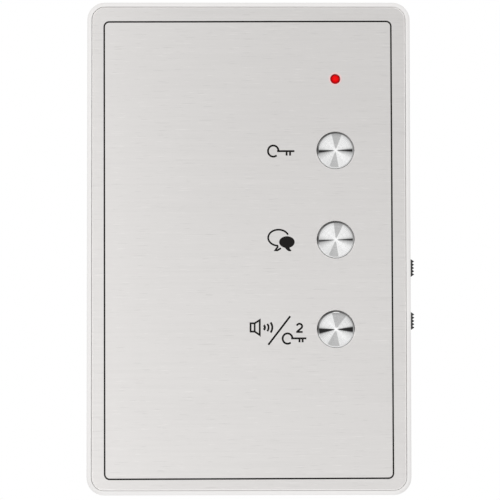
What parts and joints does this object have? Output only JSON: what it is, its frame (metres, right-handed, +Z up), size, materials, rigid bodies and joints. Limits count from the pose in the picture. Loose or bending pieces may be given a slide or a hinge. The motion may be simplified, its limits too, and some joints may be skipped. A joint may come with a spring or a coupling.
{
  "type": "hands-free intercom indoor unit",
  "caption": "Wall-mounted hands-free intercom station: slim moulded housing with a brushed metal face, round push buttons, an indicator lamp and serrated side sliders.",
  "frame": {"origin": "middle of the two wall slots in the bracket, on the wall plane", "axes": "+Y points into the wall and the metal face looks along -Y; +Z is up; +X is to the right seen from the room"},
  "size_m": [0.0998, 0.0258, 0.15],
  "materials": {
    "housing_white": "satin",
    "face_steel": "brushed",
    "cap_steel": "spun",
    "tape_black": "matte",
    "zinc_sheet": "zinc plated",
    "screw_steel": "zinc plated",
    "board_green": "satin",
    "inner_white": "matte",
    "switch_black": "matte",
    "tinned_steel": "tinned",
    "lamp_red": "gloss",
    "knob_black": "matte",
    "plated_steel": "plated",
    "magnet_grey": "satin",
    "coil_copper": "enamelled wire",
    "film_clear": "satin",
    "gasket_card": "matte card",
    "strip_brown": "matte",
    "contact_brass": "bright",
    "lead_black": "matte",
    "mesh_black": "woven",
    "boot_rubber": "matte",
    "capsule_aluminium": "satin",
    "terminal_green": "satin",
    "capacitor_black": "sleeve",
    "header_ivory": "matte"
  },
  "bodies": {
    "housing": {"front_housing": "housing_white", "front_plate": "face_steel", "plate_tape": "tape_black", "rear_housing": "housing_white", "wall_bracket": "zinc_sheet", "lock_screw": "screw_steel", "housing_screws": "screw_steel", "circuit_board": "board_green", "board_screws": "screw_steel", "push_switch_bases": "switch_black", "push_switch_covers": "plated_steel", "push_switch_legs": "tinned_steel", "indicator_lamp": "lamp_red", "lamp_spacer": "switch_black", "lamp_leads": "tinned_steel", "slide_switch_shells": "plated_steel", "slide_switch_bases": "switch_black", "slide_switch_pins": "tinned_steel", "speaker_basket": "plated_steel", "speaker_magnet": "magnet_grey", "voice_coil": "coil_copper", "speaker_diaphragm": "film_clear", "speaker_gasket": "gasket_card", "speaker_tag_strip": "strip_brown", "speaker_tags": "contact_brass", "speaker_lead": "lead_black", "sound_mesh": "mesh_black", "microphone_boot": "boot_rubber", "microphone_capsule": "capsule_aluminium", "microphone_lead": "lead_black", "terminal_block": "terminal_green", "terminal_clamps": "contact_brass", "terminal_screws": "screw_steel", "capacitors": "capacitor_black", "chips": "switch_black", "lead_headers": "header_ivory"},
    "unlock_button": {"unlock_button_cap": "cap_steel", "unlock_button_plunger": "inner_white", "unlock_switch_stem": "switch_black"},
    "talk_button": {"talk_button_cap": "cap_steel", "talk_button_plunger": "inner_white", "talk_switch_stem": "switch_black"},
    "speaker_button": {"speaker_button_cap": "cap_steel", "speaker_button_plunger": "inner_white", "speaker_switch_stem": "switch_black"},
    "talk_volume_slider": {"talk_volume_knob": "knob_black", "talk_volume_lever": "inner_white"},
    "ring_volume_slider": {"ring_volume_knob": "knob_black", "ring_volume_lever": "inner_white"}
  },
  "joints": [
    {"name": "unlock_press", "type": "slide", "parent": "housing", "child": "unlock_button", "axis": [0, 1, 0], "range_m": [0, 0.00035], "stiffness_N_per_m": 3000, "springref_m": -0.0001},
    {"name": "talk_press", "type": "slide", "parent": "housing", "child": "talk_button", "axis": [0, 1, 0], "range_m": [0, 0.00035], "stiffness_N_per_m": 3000, "springref_m": -0.0001},
    {"name": "speaker_press", "type": "slide", "parent": "housing", "child": "speaker_button", "axis": [0, 1, 0], "range_m": [0, 0.00035], "stiffness_N_per_m": 3000, "springref_m": -0.0001},
    {"name": "talk_volume_slide", "type": "slide", "parent": "housing", "child": "talk_volume_slider", "axis": [0, 0, 1], "range_m": [-0.0015, 0.0015]},
    {"name": "ring_volume_slide", "type": "slide", "parent": "housing", "child": "ring_volume_slider", "axis": [0, 0, 1], "range_m": [-0.0015, 0.0015]}
  ]
}
